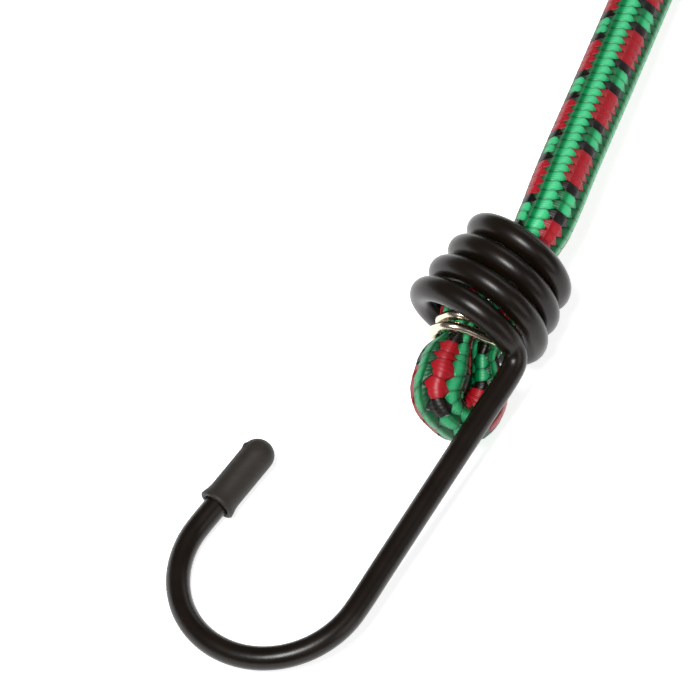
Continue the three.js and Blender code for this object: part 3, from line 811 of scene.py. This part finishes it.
cover_nodes = {
    "end_a": ["end_a_braid"],
    "run_a": ["run_a_braid"],
    "looped": ["loop_braid", "run_b_braid"],
    "end_b": ["end_b_braid"],
}
for name, (start, stop, body, _) in stretches.items():
    piece, begins = cord_route(f"{name}_cover", start, stop, cover_margin)
    under = cord_route(f"{name}_under", start, stop, cover_margin)[0]
    level = {"end_a": bore_a, "end_b": bore_b}.get(name, start)
    level_row = round((level - first_phase) / pick)
    level = first_phase + level_row * pick
    before = fold_stretch if name == "end_a" else 0.0
    after = fold_stretch if name == "end_b" else 0.0
    first_row = level_row - math.floor((level - start) / (pick * (1 + before)))
    last_row = level_row + math.ceil((stop - level) / (pick * (1 + after)))
    grown(
        piece,
        braid,
        {
            "Start": float(level - begins),
            "Rows": last_row - first_row,
            "First row": first_row,
            "Level row": level_row,
            "Stretch before": before,
            "Stretch after": after,
            "Pick": pick,
            "Half reach": 0.098,
            "Half width": 0.6,
            "Height": 0.17 * MM,
            "Dive": 0.36 * MM,
            "Taper": 0.7,
            "Bed": -0.04 * MM,
            "Slope": -0.45,
            "Facets": loop_facets if name == "looped" else near_facets,
            "Seed": 7,
            "Material": yarn_look,
        },
    )
    grown(
        under,
        sleeve,
        {
            "Start": float(start - begins),
            "Length": float(stop - start),
            "Sides": under_sides,
            "Steps": round(float(stop - start) / sleeve_step),
            "Lift": under_depth,
            "Lobes": 0,
            "Lobe depth": 0.0,
            "Material": under_shade_look,
        },
    )
    closed(under)
    carried_by(piece, body)
    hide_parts(*cover_nodes[name])
    carried_by(under, body)


# The hooks: each is one spring steel wire dipped in black PVC, wound four turns round the cord,
# then bent over into a shank and an open round bend. The coat is smooth and satin.
wire_radius = 1.58 * MM
coil_coat_radius = 1.7 * MM
hook_roll = math.radians(9.7)
coil_pitch = 3.85
coil_turns = 3.75
coil_radii = {"narrow": 6.2, "wide": 8.0, "last": 7.3}
corner_reach = 2.8
shank_end = 41.9
bend_radius = 12.6
tip_straight = 12.5
tip_lean = math.radians(6.6)
last_turns = 0.5
steps_per_turn = 24
knee_steps = 8
shank_steps = 6
bend_steps = 40
tip_steps = 4
coat_sides = 24


def eased(share):
    """A share from 0 to 1 that starts and ends softly."""
    return share * share * (3 - 2 * share)


def wire_line():
    """The wire's line in the hook's own place, in millimetres: coil, corner, shank, bend, tip."""
    points = []
    corner_angle = math.asin(corner_reach / coil_radii["last"])
    stop = corner_angle / (2 * math.pi)
    steps = round((coil_turns - stop) * steps_per_turn)
    for index in range(steps + 1):
        turns_to_go = coil_turns + (stop - coil_turns) * index / steps
        if turns_to_go < last_turns:
            share = eased(turns_to_go / last_turns)
            radius = coil_radii["last"] + (coil_radii["wide"] - coil_radii["last"]) * share
        else:
            share = (turns_to_go - last_turns) / (coil_turns - last_turns)
            radius = coil_radii["wide"] + (coil_radii["narrow"] - coil_radii["wide"]) * share
        turned = turns_to_go * 2 * math.pi
        along = coil_pitch / 4 - turns_to_go * coil_pitch
        points.append(Vector((radius * math.cos(turned), -along, radius * math.sin(turned))))
    coil_count = len(points)
    coil_end = points[-1]
    knee = coil_end + (coil_end - points[-2]).normalized() * corner_reach
    shank_start = knee + Vector((0, -corner_reach, 0))
    for index in range(1, knee_steps + 1):
        t = index / knee_steps
        points.append(coil_end * (1 - t) ** 2 + knee * 2 * t * (1 - t) + shank_start * t * t)
    shank_last = Vector((shank_start.x, -shank_end, shank_start.z))
    for index in range(1, shank_steps + 1):
        points.append(shank_start.lerp(shank_last, index / shank_steps))
    centre = Vector((shank_start.x - bend_radius, -shank_end, shank_start.z))
    for index in range(1, bend_steps + 1):
        turned = (math.pi + tip_lean) * index / bend_steps
        points.append(centre + Vector((math.cos(turned), -math.sin(turned), 0)) * bend_radius)
    bend_end = points[-1]
    tip_heading = Vector((math.sin(tip_lean), math.cos(tip_lean), 0))
    for index in range(1, tip_steps + 1):
        points.append(bend_end + tip_heading * tip_straight * index / tip_steps)
    return points, coil_count, bend_end, tip_heading


def wire_route(name, rows, step):
    """A line for a round wire from rows of a place and a radius, carried along without twist."""
    rows = smoothed(rows, step)
    places, radii = rows[:, :3], rows[:, 3]
    along = headings(places)
    across = numpy.cross(along[0], (0.0, 0.0, 1.0))
    side_vectors, rise_vectors = [], []
    for heading, radius in zip(along, radii):
        across = across - heading * numpy.dot(across, heading)
        across /= numpy.linalg.norm(across)
        side_vectors.append(across * radius)
        rise_vectors.append(numpy.cross(heading, across) * radius)
    length = float(numpy.linalg.norm(numpy.diff(places, axis=0), axis=1).sum())
    return route(name, places, side_vectors, rise_vectors, [0.0] * len(places)), length


# Dipped PVC sets smooth, with slow waves and fine pits, so its shine is satin and a little uneven.
coat_look, tree, shader = new_material("black dipped PVC", Specular_IOR_Level=0.3)
spot = result(add(tree, "ShaderNodeTexCoord"), "Object")
waves = add(tree, "ShaderNodeTexNoise", {"Vector": spot, "Scale": 260.0, "Detail": 2.0})
pits = add(tree, "ShaderNodeTexNoise", {"Vector": spot, "Scale": 2600.0, "Detail": 2.0})
height = add(tree, "ShaderNodeMath", (pits, 0.25, waves), operation="MULTIPLY_ADD")
bump = add(tree, "ShaderNodeBump", {"Strength": 0.25, "Distance": 0.12 * MM, "Height": height})
tree.links.new(result(bump), shader.inputs["Normal"])
rough = add(tree, "ShaderNodeMapRange", {"Value": waves, "To Min": 0.26, "To Max": 0.38})
tree.links.new(result(rough), shader.inputs["Roughness"])
shade = add(
    tree,
    "ShaderNodeMix",
    {"Factor": waves, "A": linear("#0D0805"), "B": linear("#19110A")},
    data_type="RGBA",
)
tree.links.new(result(shade, "Result"), shader.inputs["Base Color"])

wire_points, coil_count, bend_end, tip_heading = wire_line()
hook_places = {
    letter: end_place @ Matrix.Rotation(-hook_roll, 4, "Y") for letter, end_place in end_places.items()
}
for letter, hook_place in hook_places.items():
    wire_rows = []
    for index, point in enumerate(wire_points):
        radius = coil_coat_radius if index < coil_count else wire_radius
        x, y, z = hook_place @ (point * MM)
        wire_rows.append((x, y, max(z, radius), radius))
    piece, length = wire_route(f"hook_{letter}_jacket", wire_rows, 0.5 * MM)
    grown(
        piece,
        sleeve,
        {
            "Start": 0.0,
            "Length": length,
            "Sides": coat_sides,
            "Steps": round(length / (0.45 * MM)),
            "Lift": 0.0,
            "Lobes": 0,
            "Lobe depth": 0.0,
            "Material": coat_look,
        },
    )
    closed(piece)
    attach(piece, f"hook_{letter}")
    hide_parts(f"hook_{letter}_coat")

# The wire inside the coat is drawn spring steel, grey and faintly streaked from the die. The
# coat hides it.
steel_look, tree, shader = new_material(
    "drawn spring steel", Base_Color=linear("#B9B4AA"), Metallic=1.0, Roughness=0.3
)
spot = result(add(tree, "ShaderNodeTexCoord"), "Object")
streaks = add(tree, "ShaderNodeTexNoise", {"Vector": spot, "Scale": 1200.0, "Detail": 2.0})
rough = add(tree, "ShaderNodeMapRange", {"Value": streaks, "To Min": 0.24, "To Max": 0.42})
tree.links.new(result(rough), shader.inputs["Roughness"])
for letter in hook_places:
    for material_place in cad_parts[f"hook_{letter}_steel"].material_slots:
        material_place.material = steel_look

# The tip caps: soft moulded rubber, pushed over each free tip. The mouth flares a little, the
# nose is round, and the mould left a nick of flash and a small dimple.
cap_radius = 2.2
cap_length = 10.9
cap_bore = 1.72
cap_flare = 0.3
cap_end_wall = 1.6
cap_end_gap = 0.3
cap_profile = [
    (0.0, cap_length - cap_end_wall),
    (cap_bore * 0.7, cap_length - 1.7),
    (cap_bore, cap_length - 2.1),
    (cap_bore, 0.25),
    (cap_bore + 0.15, 0.0),
    (cap_radius + cap_flare - 0.12, 0.0),
    (cap_radius + cap_flare, 0.14),
    (cap_radius + cap_flare * 0.75, 0.6),
    (cap_radius + cap_flare * 0.25, 1.2),
    (cap_radius, 1.9),
    (cap_radius, 4.0),
    (cap_radius, 6.0),
    (cap_radius, 7.0),
    (cap_radius, 7.6),
    (cap_radius, 8.0),
    (cap_radius, 8.35),
    (cap_radius, cap_length - cap_radius),
]
nose_steps = 9
for index in range(1, nose_steps + 1):
    angle_there = math.pi / 2 * index / nose_steps
    cap_profile.append(
        (cap_radius * math.cos(angle_there), cap_length - cap_radius + cap_radius * math.sin(angle_there))
    )
cap_sides = 48
# Moulded rubber is dull and fine-grained, and holds a little dust.
cap_look, tree, shader = new_material(
    "moulded black rubber", Base_Color=linear("#26211C"), Roughness=0.58, Specular_IOR_Level=0.4
)
spot = result(add(tree, "ShaderNodeTexCoord"), "Object")
dust = add(tree, "ShaderNodeTexNoise", {"Vector": spot, "Scale": 700.0, "Detail": 4.0})
shade = add(
    tree,
    "ShaderNodeMix",
    {"Factor": dust, "A": linear("#1C1814"), "B": linear("#2E2822")},
    data_type="RGBA",
)
tree.links.new(result(shade, "Result"), shader.inputs["Base Color"])
bump = add(tree, "ShaderNodeBump", {"Strength": 0.45, "Distance": 0.1 * MM, "Height": dust})
tree.links.new(result(bump), shader.inputs["Normal"])
cap_start = tip_straight + cap_end_wall + cap_end_gap - cap_length
# Each mark of the mould: the way that it faces, its height on the cap, its reach and its push.
mould_marks = [
    (Vector((-0.75, 0.0, 0.66)), 8.6, 0.34, 0.28),
    (Vector((0.1, 0.0, 1.0)), 9.4, 0.6, -0.16),
]
for letter, hook_place in hook_places.items():
    shape = bmesh.new()
    rings = []
    for radius, height_there in cap_profile:
        if radius < 1e-6:
            rings.append([shape.verts.new((0, height_there, 0))])
            continue
        ring = []
        for side_number in range(cap_sides):
            turned = 2 * math.pi * side_number / cap_sides
            ring.append(shape.verts.new((radius * math.cos(turned), height_there, radius * math.sin(turned))))
        rings.append(ring)
    for lower, upper in zip(rings, rings[1:]):
        for side_number in range(cap_sides):
            after = (side_number + 1) % cap_sides
            pairs = ((lower, side_number), (lower, after), (upper, after), (upper, side_number))
            corners = [ring[number_there % len(ring)] for ring, number_there in pairs]
            unique = list(dict.fromkeys(corners))
            if len(unique) > 2:
                shape.faces.new(unique)
    bmesh.ops.remove_doubles(shape, verts=shape.verts, dist=1e-5)
    bmesh.ops.recalc_face_normals(shape, faces=shape.faces)
    for mark_way, mark_height, mark_reach, mark_push in mould_marks:
        mark_middle = mark_way * cap_radius + Vector((0, mark_height, 0))
        for corner in shape.verts:
            far = (corner.co - mark_middle).length / mark_reach
            if far < 3 and math.hypot(corner.co.x, corner.co.z) > cap_bore + 0.01:
                corner.co += mark_way * mark_push * math.exp(-far * far)
    turn_to_tip = Vector((0, 1, 0)).rotation_difference(tip_heading).to_matrix().to_4x4()
    cap_mouth = Matrix.Translation((bend_end + tip_heading * cap_start) * MM)
    cap_place = hook_place @ cap_mouth @ turn_to_tip @ Matrix.Scale(MM, 4)
    bmesh.ops.transform(shape, matrix=cap_place, verts=shape.verts)
    mesh = bpy.data.meshes.new(f"hook_{letter}_moulded_cap")
    shape.to_mesh(mesh)
    shape.free()
    mesh.shade_smooth()
    mesh.materials.append(cap_look)
    piece = bpy.data.objects.new(mesh.name, mesh)
    bpy.context.scene.collection.objects.link(piece)
    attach(piece, f"hook_{letter}")
    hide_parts(f"hook_{letter}_tip_cap")

# The clips: bright steel wire pressed two turns round both limbs of the fold, which keeps the
# cord's end from pulling out of the coil.
clip_radius = 0.7 * MM
clip_turns = 2
clip_pitch = 1.9
clip_tilt = math.radians(15)
clip_middle = fold_side * 0.4 - fold_square * 0.4 + Vector((0, -0.2, 0))
clip_half_width = 4.4
clip_half_height = 3.2
clip_squareness = 0.6
clip_side = fold_side * math.cos(clip_tilt) + Vector((0, 1, 0)) * math.sin(clip_tilt)
clip_steps = 40
clip_sides = 16
clip_points = []
for index in range(clip_turns * clip_steps + 1):
    turns = index / clip_steps
    turned = turns * 2 * math.pi - math.pi / 2
    wide = clip_half_width * math.copysign(abs(math.cos(turned)) ** clip_squareness, math.cos(turned))
    high = clip_half_height * math.copysign(abs(math.sin(turned)) ** clip_squareness, math.sin(turned))
    along_here = Vector((0, -(turns - clip_turns / 2) * clip_pitch, 0))
    clip_points.append(clip_middle + clip_side * wide + fold_square * high + along_here)
# Bright drawn wire: a plain metal shine with faint marks of the die.
clip_look, tree, shader = new_material(
    "bright steel wire", Base_Color=linear("#DDD0BA"), Metallic=1.0, Roughness=0.24
)
spot = result(add(tree, "ShaderNodeTexCoord"), "Object")
streaks = add(tree, "ShaderNodeTexNoise", {"Vector": spot, "Scale": 1500.0, "Detail": 2.0})
bump = add(tree, "ShaderNodeBump", {"Strength": 0.2, "Distance": 0.03 * MM, "Height": streaks})
tree.links.new(result(bump), shader.inputs["Normal"])
for letter, end_place in end_places.items():
    clip_rows = [(*(end_place @ (point * MM)), clip_radius) for point in clip_points]
    piece, length = wire_route(f"clip_{letter}_wire", clip_rows, 0.3 * MM)
    grown(
        piece,
        sleeve,
        {
            "Start": 0.0,
            "Length": length,
            "Sides": clip_sides,
            "Steps": round(length / (0.25 * MM)),
            "Lift": 0.0,
            "Lobes": 0,
            "Lobe depth": 0.0,
            "Material": clip_look,
        },
    )
    closed(piece)
    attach(piece, "end_a" if letter == "a" else "cord")
    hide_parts(f"clip_{letter}")

# The table: a plain white surface under soft light, which the part lies on. A glow that only the
# camera, mirrors and clear things see brings it to white, and the part's shadow stays on it.
floor_mesh = bpy.data.meshes.new("table_top")
reach_of_floor = 3.0
floor_corners = [(x * reach_of_floor, y * reach_of_floor, 0) for x, y in ((-1, -1), (1, -1), (1, 1), (-1, 1))]
floor_mesh.from_pydata(floor_corners, [], [(0, 1, 2, 3)])
floor = bpy.data.objects.new("table_top", floor_mesh)
bpy.context.scene.collection.objects.link(floor)
white, tree, shader = new_material("white table", Base_Color=linear("#F4F4F4"), Roughness=0.9)
glow = add(tree, "ShaderNodeEmission", {"Color": (1.0, 1.0, 1.0, 1.0), "Strength": 0.74})
both = add(tree, "ShaderNodeAddShader", (shader.outputs[0], glow))
rays = add(tree, "ShaderNodeLightPath").outputs
mirrored = add(
    tree, "ShaderNodeMath", (rays["Is Glossy Ray"], rays["Is Transmission Ray"]), operation="MAXIMUM"
)
seen = add(tree, "ShaderNodeMath", (rays["Is Camera Ray"], mirrored), operation="MAXIMUM")
choice = add(tree, "ShaderNodeMixShader", (seen, shader.outputs[0], both))
tree.links.new(result(choice), tree.nodes["Material Output"].inputs["Surface"])
floor_mesh.materials.append(white)

# The light: a soft lamp above and before the table, a wide weaker one behind it and one on the
# right, with a little even light from all sides.
scene = bpy.context.scene
scene.view_settings.view_transform = "Standard"
world = bpy.data.worlds.new("studio")
scene.world = world
world.use_nodes = True
world.node_tree.nodes["Background"].inputs["Color"].default_value = (1, 1, 1, 1)
world.node_tree.nodes["Background"].inputs["Strength"].default_value = 0.12


def lamp(name, place_m, target_m, size_x, size_y, watts):
    """A soft rectangular lamp at a place, turned to a target."""
    light = bpy.data.lights.new(name, "AREA")
    light.shape = "RECTANGLE"
    light.size, light.size_y, light.energy = size_x, size_y, watts
    lamp_object = bpy.data.objects.new(name, light)
    heading = Vector(target_m) - Vector(place_m)
    turned = heading.to_track_quat("-Z", "Y").to_matrix().to_4x4()
    lamp_object.matrix_world = Matrix.Translation(place_m) @ turned
    bpy.context.scene.collection.objects.link(lamp_object)


lit_spot = (0.06, -0.04, 0)
lamp("key", (0.05, -0.40, 0.76), lit_spot, 0.26, 0.26, 7.4)
lamp("far", (0.10, 0.9, 0.5), lit_spot, 0.8, 0.3, 1.2)
lamp("right", (0.7, -0.1, 0.35), lit_spot, 0.3, 0.5, 0.8)

# The camera: a long lens that looks down on the near hook from the front right.
toward = Vector((0.2644, -0.4332, 0.8616)).normalized()
right = Vector((0.8536, 0.521, 0)).normalized()
above = toward.cross(right)
picture_width = 696
picture_middle = picture_width / 2
pixel = 1 / 7.75 * MM
hook_middle = Vector((75.982, -34.463, 8.983)) * MM
hook_across, hook_down = 472.6, 329
aim = (
    hook_middle
    + right * (picture_middle - hook_across) * pixel
    + above * (hook_down - picture_middle) * pixel
)
camera_data = bpy.data.cameras.new("camera")
camera_data.lens = 600
camera_data.sensor_width = 36
away = picture_width * pixel * camera_data.lens / camera_data.sensor_width
camera_data.clip_start = 0.01
camera = bpy.data.objects.new("camera", camera_data)
facing = Matrix((right, above, toward)).transposed().to_4x4()
camera.matrix_world = Matrix.Translation(aim + toward * away) @ facing
scene.collection.objects.link(camera)
scene.camera = camera
